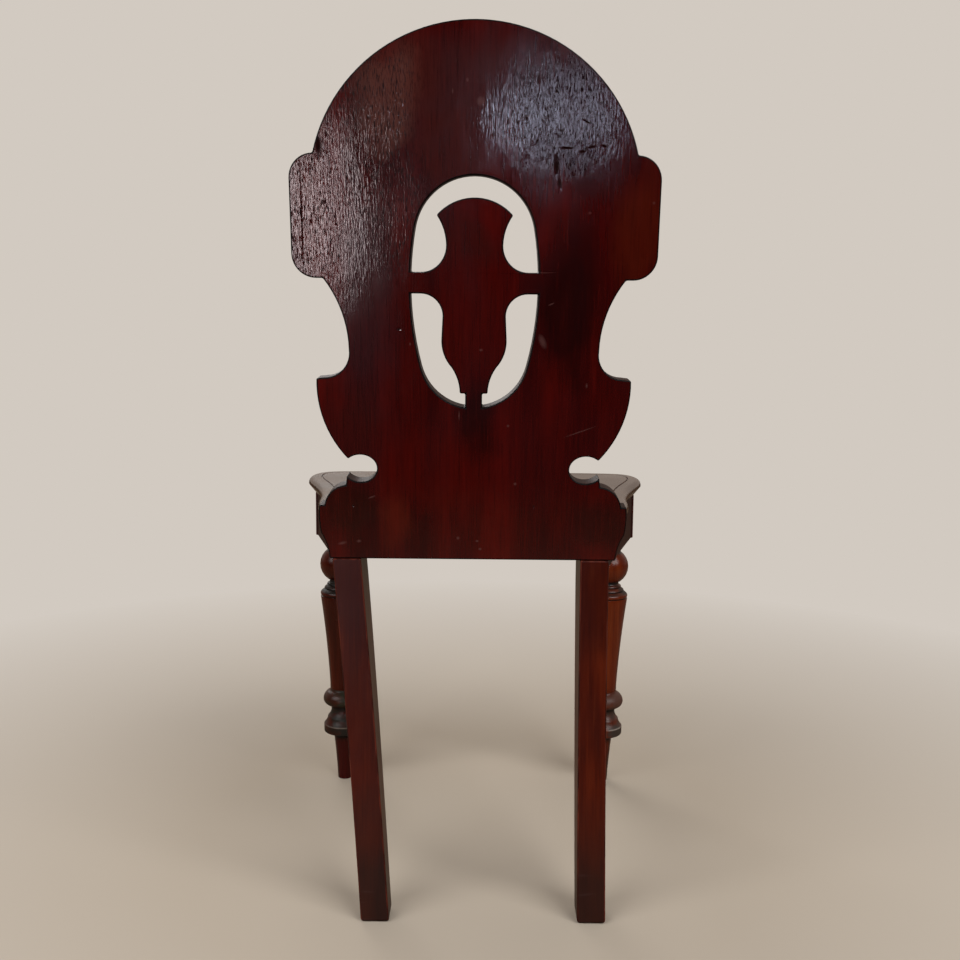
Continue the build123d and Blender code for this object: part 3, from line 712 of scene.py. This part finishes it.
def round_arrises(piece, width):
    """Round every arris sharper than 30 degrees. The rounding takes the second material."""
    apply_modifier(
        piece,
        "BEVEL",
        width=width * mm,
        segments=3,
        limit_method="ANGLE",
        angle_limit=math.radians(30),
        use_clamp_overlap=False,
        material=1,
    )
    bpy.ops.object.shade_smooth_by_angle(angle=math.radians(40))
    apply_modifier(piece, "WEIGHTED_NORMAL", weight=100, keep_sharp=True)


def dull_edges(piece, finish):
    """Give the sides of a plank, all that turns away from its two faces, their own finish."""
    piece.data.materials.append(finish)
    for face in piece.data.polygons:
        if face.material_index == 0 and abs(face.normal.y) < 0.5:
            face.material_index = 2


def wear_foot(piece, width):
    """Round the arrises round the bottom of a leg, as the floor wears them."""
    pick(piece)
    bpy.context.tool_settings.mesh_select_mode = (False, True, False)
    for vertex in piece.data.vertices:
        vertex.select = vertex.co.z < 1 * mm
    for edge in piece.data.edges:
        edge.select = all(piece.data.vertices[v].select for v in edge.vertices)
    for face in piece.data.polygons:
        face.select = False
    bpy.ops.object.mode_set(mode="EDIT")
    bpy.ops.mesh.bevel(offset=width * mm, segments=4)
    bpy.ops.object.mode_set(mode="OBJECT")


def copy_solid(node, name):
    """A copy of a solid of the model, its loose triangles merged into flat faces."""
    piece = bpy.data.objects.new(name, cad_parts[node].data.copy())
    bpy.context.scene.collection.objects.link(piece)
    piece.data.materials.clear()
    pick(piece)
    bpy.ops.object.mode_set(mode="EDIT")
    bpy.ops.mesh.select_all(action="SELECT")
    bpy.ops.mesh.remove_doubles(threshold=0.002 * mm)
    bpy.ops.mesh.dissolve_limited(angle_limit=math.radians(0.4))
    bpy.ops.object.mode_set(mode="OBJECT")
    return piece


def fit(piece, node):
    """Let a piece stand for its node, riding with the chair."""
    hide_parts(node)
    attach(piece, "root")


# Back, seat, rails and rear legs: the model's solids with rounded arrises

foot_wear = 4

# Each piece: its node, its name, its finish, its arrises' finish, its slot and its rounding
solid_pieces = (
    ("back_panel", "plank_back", back_finish, back_arris, "back_mahogany", 1.5),
    ("seat_board", "seat", seat_finish, seat_arris, "seat_mahogany", 0.4),
    ("rear_leg_left", "rear_leg_sitters_left", leg_finish, leg_arris, "frame_mahogany", 1.3),
    ("rear_leg_right", "rear_leg_sitters_right", leg_finish, leg_arris, "frame_mahogany", 1.3),
    ("front_rail", "rail_front", cross_rail_finish, leg_arris, "frame_mahogany", 1),
    ("back_rail", "rail_back", cross_rail_finish, leg_arris, "frame_mahogany", 0.8),
    ("side_rail_left", "rail_sitters_left", side_rail_finish, leg_arris, "frame_mahogany", 1),
    ("side_rail_right", "rail_sitters_right", side_rail_finish, leg_arris, "frame_mahogany", 1),
    ("corner_block_front_left", "brace_front_left", pine, pine, "block_pine", 0.8),
    ("corner_block_front_right", "brace_front_right", pine, pine, "block_pine", 0.8),
    ("corner_block_rear_left", "brace_rear_left", pine, pine, "block_pine", 0.8),
    ("corner_block_rear_right", "brace_rear_right", pine, pine, "block_pine", 0.8),
    ("glue_block_front", "glue_block_at_front", pine, pine, "block_pine", 0.8),
    ("glue_block_left", "glue_block_at_left", pine, pine, "block_pine", 0.8),
    ("glue_block_right", "glue_block_at_right", pine, pine, "block_pine", 0.8),
)
for node, name, finish, arris, slot, width in solid_pieces:
    piece = copy_solid(node, name)
    piece.data.materials.append(finish)
    piece.data.materials.append(arris)
    if node.startswith("rear_leg"):
        wear_foot(piece, foot_wear)
    round_arrises(piece, width)
    if node == "back_panel":
        dull_edges(piece, back_edge)
    fit(piece, node)

# Front legs: block and turning

# Down the turning: radius, height, and the bow of the run below, out for a bead, in for a cove
turning = (
    (25.3, 360.3, 0),
    (25.3, 350.5, 0),
    (24.6, 349.6, -1.4),
    (17.6, 343.6, 0),
    (17.4, 343.2, 0),
    (17.4, 336.2, 10.6),
    (18.8, 294.3, 0),
    (15.9, 293.5, 0),
    (15.9, 290.6, -0.6),
    (19.0, 288.0, 0),
    (19.6, 286.7, 0),
    (18.9, 286.1, 0),
    (19.0, 285.4, 0),
    (20.0, 285.0, 0),
    (22.9, 282.4, 0),
    (23.5, 281.3, 0),
    (22.8, 280.7, 0),
    (22.9, 280.0, 0),
    (24.3, 279.6, 0),
    (27.3, 276.9, 0.9),
    (28.7, 272.2, 0),
    (27.7, 271.4, 0),
    (27.7, 270.6, 0),
    (28.7, 270.0, 0),
    (28.9, 269.2, -1.25),
    (18.6, 144.0, 0),
    (18.6, 135.0, -0.9),
    (20.0, 130.6, 2.6),
    (28.7, 118.0, 2.6),
    (19.0, 109.8, 0),
    (17.6, 108.8, 0),
    (17.6, 103.4, -0.9),
    (21.7, 94.0, 0),
    (22.9, 92.6, -0.9),
    (27.8, 82.6, 0),
    (28.6, 81.8, 0),
    (28.6, 72.4, 0.6),
    (26.9, 70.5, 0),
    (15.3, 70.2, -0.6),
    (10.4, 0, 0),
)
run_steps = 8
turning_sides = 72
square_rounding = 1.4


def bowed_run(start, end, bow):
    """Points after the start of a run, on an arc that stands off its chord by a bow."""
    if not bow:
        return [end]
    (r0, z0), (r1, z1) = start, end
    chord = math.hypot(r1 - r0, z1 - z0)
    out = ((z0 - z1) / chord, (r1 - r0) / chord)
    radius = (chord**2 / 4 + bow**2) / (2 * abs(bow))
    side = math.copysign(1, bow)
    centre = radius - abs(bow)
    middle = ((r0 + r1) / 2 - side * out[0] * centre, (z0 + z1) / 2 - side * out[1] * centre)
    half = math.asin(min(1, chord / 2 / radius))
    if abs(bow) > chord / 2:
        half = math.pi - half
    points = []
    for step in range(1, run_steps + 1):
        turn = -half + 2 * half * step / run_steps
        along = math.sin(turn) * radius
        off = math.cos(turn) * radius
        r = middle[0] + side * out[0] * off + (r1 - r0) / chord * along
        z = middle[1] + side * out[1] * off + (z1 - z0) / chord * along
        points.append((r, z))
    return points


def leg_profile():
    """All the turning's points, from its foot up."""
    points = [turning[0][:2]]
    for upper, lower in zip(turning, turning[1:]):
        points += bowed_run(upper[:2], lower[:2], upper[2])
    return points[::-1]


def turned_leg(name, side, finish):
    """A leg as the lathe leaves it, raised ring by ring from its foot, under its square."""
    points = leg_profile()
    centre = Vector((side * (leg_x - foot_inset) * mm, leg_y * mm, 0))
    bpy.ops.mesh.primitive_circle_add(
        vertices=turning_sides, radius=points[0][0] * mm, fill_type="NGON", location=centre
    )
    leg = bpy.context.object
    leg.name = name
    set_at_origin(leg)
    bpy.ops.object.mode_set(mode="EDIT")
    bpy.ops.mesh.select_all(action="SELECT")
    for (r0, z0), (r1, z1) in zip(points, points[1:]):
        rise = (z1 - z0) * mm
        step = Vector((side * foot_inset / block_foot * rise, 0, rise))
        centre += step
        bpy.ops.mesh.extrude_region_move(TRANSFORM_OT_translate={"value": step})
        bpy.ops.transform.resize(value=(r1 / r0, r1 / r0, 1), center_override=centre)
    bpy.ops.mesh.select_all(action="SELECT")
    bpy.ops.mesh.normals_make_consistent(inside=False)
    bpy.ops.object.mode_set(mode="OBJECT")
    bpy.ops.object.shade_smooth_by_angle(angle=math.radians(35))
    leg.data.materials.append(finish)

    bpy.ops.mesh.primitive_cube_add(
        size=1,
        location=(side * leg_x * mm, leg_y * mm, (block_foot + block_height / 2) * mm),
        scale=(block_width * mm, block_width * mm, block_height * mm),
    )
    square = bpy.context.object
    set_at_origin(square)
    square.data.materials.append(square_finish)
    square.data.materials.append(leg_arris)
    round_arrises(square, square_rounding)
    leg.select_set(True)
    bpy.context.view_layer.objects.active = leg
    bpy.ops.object.join()
    return leg


for side, hand, finish in ((1, "left", turned_finish_left), (-1, "right", turned_finish_right)):
    leg = turned_leg(f"turned_leg_sitters_{hand}", side, finish)
    fit(leg, f"front_leg_{hand}")

# Dowels and screws

dowels = ("front_rail_dowels", "side_rail_dowels", "back_rail_dowels")
screws = ("back_panel_screws", "corner_block_screws", "seat_screws", "pocket_screws")
for nodes, finish in ((dowels, beech), (screws, steel)):
    for node in nodes:
        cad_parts[node].data.materials.clear()
        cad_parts[node].data.materials.append(finish)

# Floor, room, lamps and camera

backdrop = linear("#d2cac1")


def floor_paint():
    """Pale floor paint, which fades into the backdrop where the camera sees it. The polish of
    the chair sees a darker floor, and darkest well behind the back."""
    material, tree, place = new_material("pale_floor_paint")
    distance = add_node(tree, "VectorMath", {0: place}, operation="LENGTH")
    fade = add_node(tree, "MapRange", {"Value": distance, "From Min": 0.35, "From Max": 1.5})
    near = add_node(tree, "BsdfDiffuse", {"Color": linear("#c2b6a6")})
    distant = add_node(tree, "Emission", {"Color": backdrop, "Strength": 1})
    seen = add_node(tree, "MixShader", {0: fade, 1: near, 2: distant})
    backward = add_node(tree, "SeparateXYZ", {"Vector": place}).outputs["Y"]
    dim = add_node(tree, "MapRange", {"Value": backward, "From Min": 0.6, "From Max": 1.4})
    dark = add_node(
        tree,
        "Mix",
        {"Factor": dim, "A": linear("#8c7c6a"), "B": linear("#2a2624")},
        data_type="RGBA",
    )
    felt = add_node(tree, "BsdfDiffuse", {"Color": dark})
    from_camera = add_node(tree, "LightPath").outputs["Is Camera Ray"]
    paint = add_node(tree, "MixShader", {0: from_camera, 1: felt, 2: seen})
    add_node(tree, "OutputMaterial", {"Surface": paint})
    return material


def light_room():
    """A room with plain light from the chair's front, which fades towards its back. The camera
    sees the backdrop in its place."""
    world = bpy.data.worlds.new("studio")
    bpy.context.scene.world = world
    world.use_nodes = True
    tree = world.node_tree
    tree.nodes.clear()
    direction = add_node(tree, "TexCoord").outputs["Generated"]
    backward = add_node(tree, "SeparateXYZ", {"Vector": direction}).outputs["Y"]
    strength = add_node(
        tree,
        "MapRange",
        {
            "Value": backward,
            "From Min": -0.55,
            "From Max": 0.3,
            "To Min": 0.54,
            "To Max": 0.012,
        },
    )
    lit = add_node(tree, "Background", {"Color": linear("#e8d8ca"), "Strength": strength})
    shown = add_node(tree, "Background", {"Color": backdrop, "Strength": 1})
    from_camera = add_node(tree, "LightPath").outputs["Is Camera Ray"]
    room = add_node(tree, "MixShader", {0: from_camera, 1: lit, 2: shown})
    add_node(tree, "OutputWorld", {"Surface": room})


def soft_lamp(name, place, target, width, height, radiance, colour="#ffffff"):
    """A soft box at a place, turned to a target; radiance is what leaves each part of it."""
    lamp = bpy.data.lights.new(name, "AREA")
    lamp.shape = "RECTANGLE"
    lamp.size = width
    lamp.size_y = height
    lamp.energy = radiance * math.pi * width * height
    lamp.color = linear(colour)[:3]
    box = bpy.data.objects.new(name, lamp)
    box.location = place
    box.rotation_euler = (Vector(target) - Vector(place)).to_track_quat("-Z", "Y").to_euler()
    box.visible_camera = False
    bpy.context.scene.collection.objects.link(box)


bpy.ops.mesh.primitive_plane_add(size=60, location=(0, 0, 0))
floor = bpy.context.object
floor.name = "pale_floor"
floor.data.materials.append(floor_paint())
light_room()

back = back_y * mm
soft_lamp(
    "window_on_the_right", (-0.235, back + 2.56, 0.8), (0, back, 0.8), 0.1, 0.16, 37, "#dde4ff"
)
soft_lamp("door_on_the_left", (0.76, back + 2.5, 0.49), (0, back, 0.6), 0.36, 0.5, 14, "#fff0f2")
soft_lamp("high_right", (-2.2, back + 2.2, 2.9), (0, 0, 0.5), 2.6, 2.6, 5)
soft_lamp("high_left", (2.4, back + 2.0, 2.7), (0, 0, 0.5), 2.6, 2.6, 3.5)
soft_lamp("from_the_front", (1.0, -2.4, 2.0), (0, 0, 0.5), 1.6, 1.6, 3)

# A phone's wide lens, as long as 962 pixels of a frame 960 wide, held a metre behind the back
# and looking down by 6.4 degrees
camera_data = bpy.data.cameras.new("camera")
camera_data.sensor_width = 36
camera_data.sensor_fit = "HORIZONTAL"
camera_data.lens = 36.08
camera = bpy.data.objects.new("camera", camera_data)
camera.matrix_world = (
    Matrix.Translation((-0.008, back + 1.009, 0.587))
    @ Matrix.Rotation(math.radians(180.04), 4, "Z")
    @ Matrix.Rotation(math.radians(90 - 6.4), 4, "X")
    @ Matrix.Rotation(math.radians(0.52), 4, "Z")
)
bpy.context.scene.collection.objects.link(camera)
bpy.context.scene.camera = camera
bpy.context.scene.view_settings.view_transform = "Standard"
